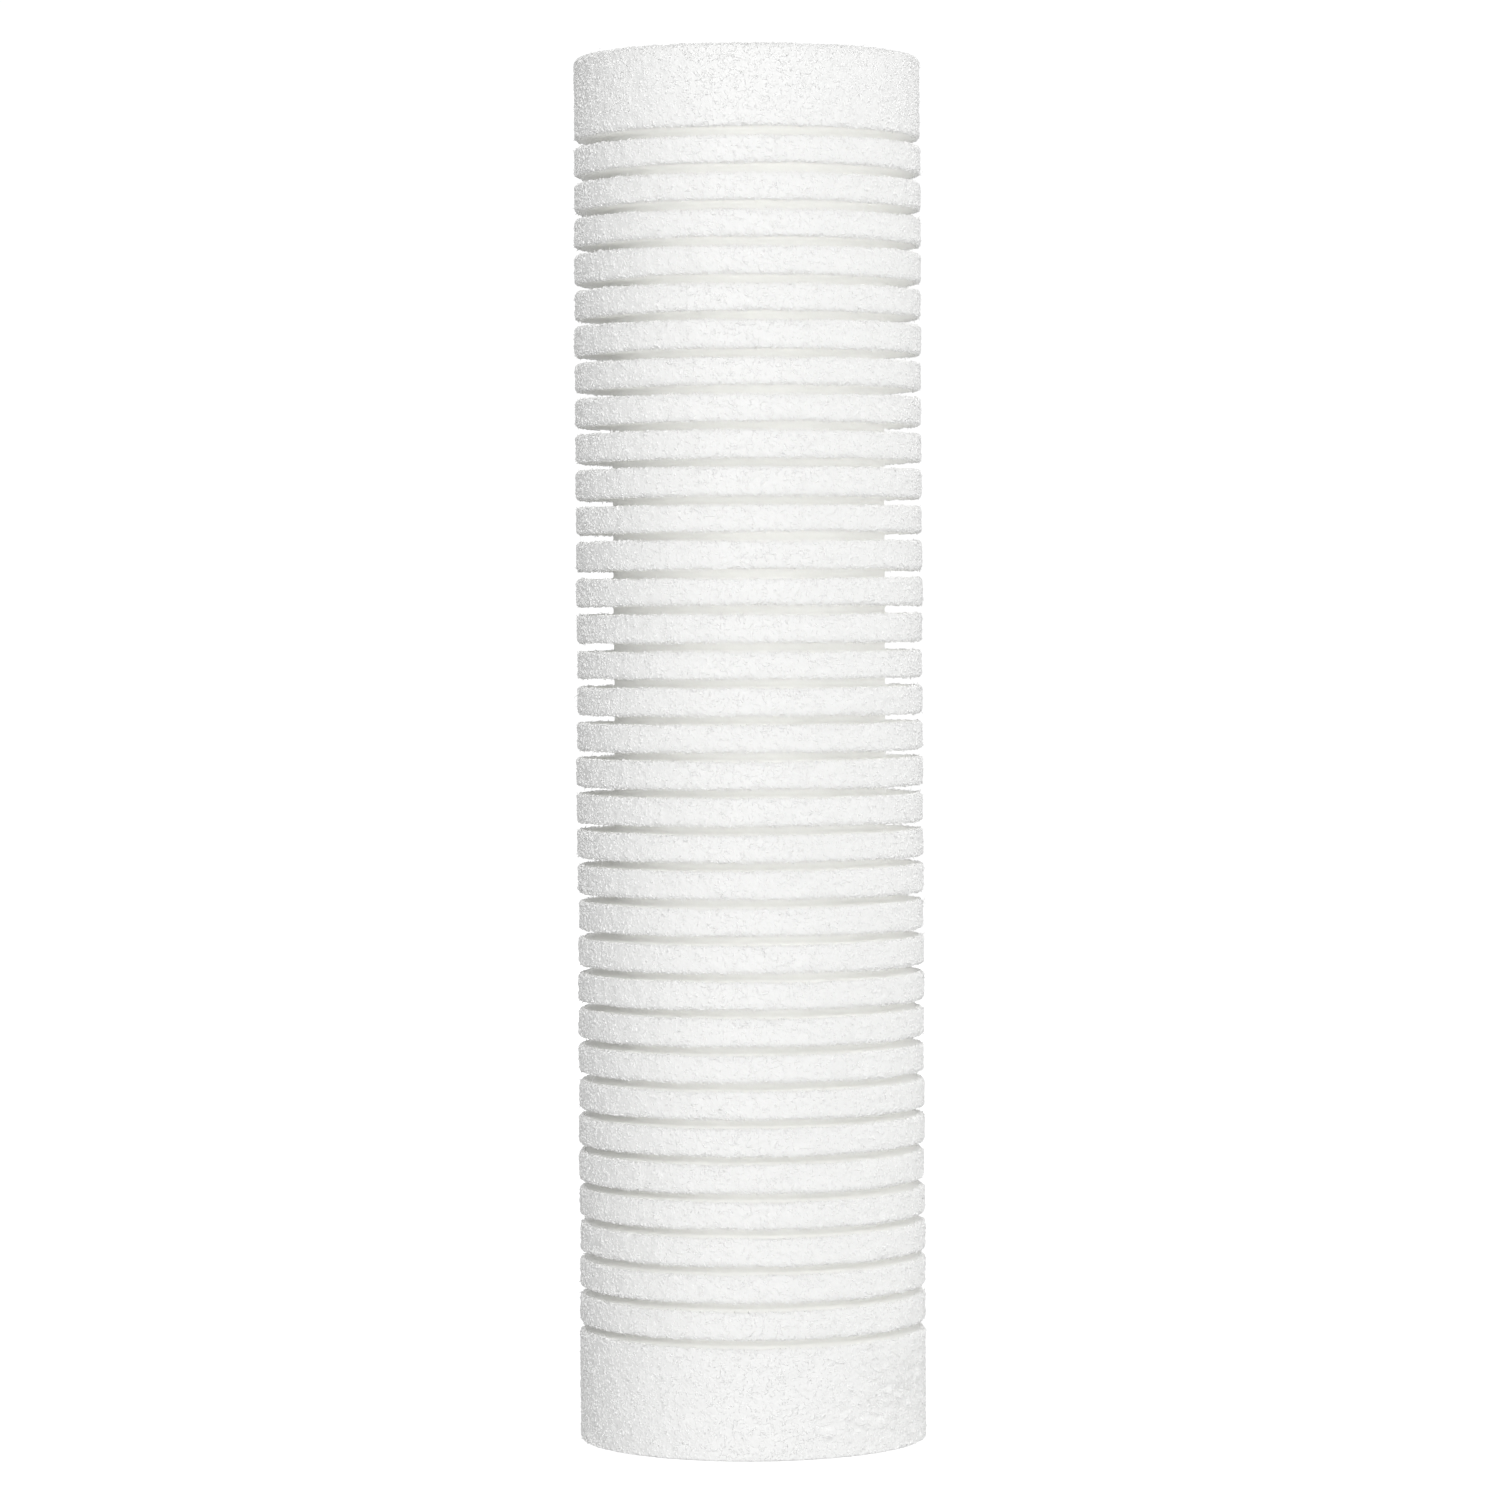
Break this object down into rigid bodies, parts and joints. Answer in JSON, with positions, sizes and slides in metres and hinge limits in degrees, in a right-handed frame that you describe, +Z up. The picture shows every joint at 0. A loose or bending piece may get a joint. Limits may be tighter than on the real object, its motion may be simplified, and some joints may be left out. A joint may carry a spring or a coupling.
{
  "type": "grooved sediment filter cartridge",
  "caption": "Drop-in water filter cartridge: a white blown-fibre tube, open from end to end, with deep ring grooves between two plain end bands.",
  "frame": {"origin": "middle of the lower end face, on the bore's axis", "axes": "+Z up along the bore; the end with the longer plain band is at the bottom; X and Y are free because the cartridge is round"},
  "size_m": [0.0635, 0.0634, 0.254],
  "materials": {
    "fused_core_fibre": "coarse polypropylene fibre fused into a stiff, slightly glazed wall",
    "fine_fibre": "densest melt-blown polypropylene micro-fibre, close felt",
    "middle_fibre": "melt-blown polypropylene micro-fibre, medium felt",
    "outer_fibre": "loose melt-blown polypropylene fibre, matt white felt with stray ends"
  },
  "bodies": {
    "root": {"support_core": "fused_core_fibre", "fine_layer": "fine_fibre", "middle_layer": "middle_fibre", "grooved_outer_layer": "outer_fibre"}
  },
  "joints": []
}
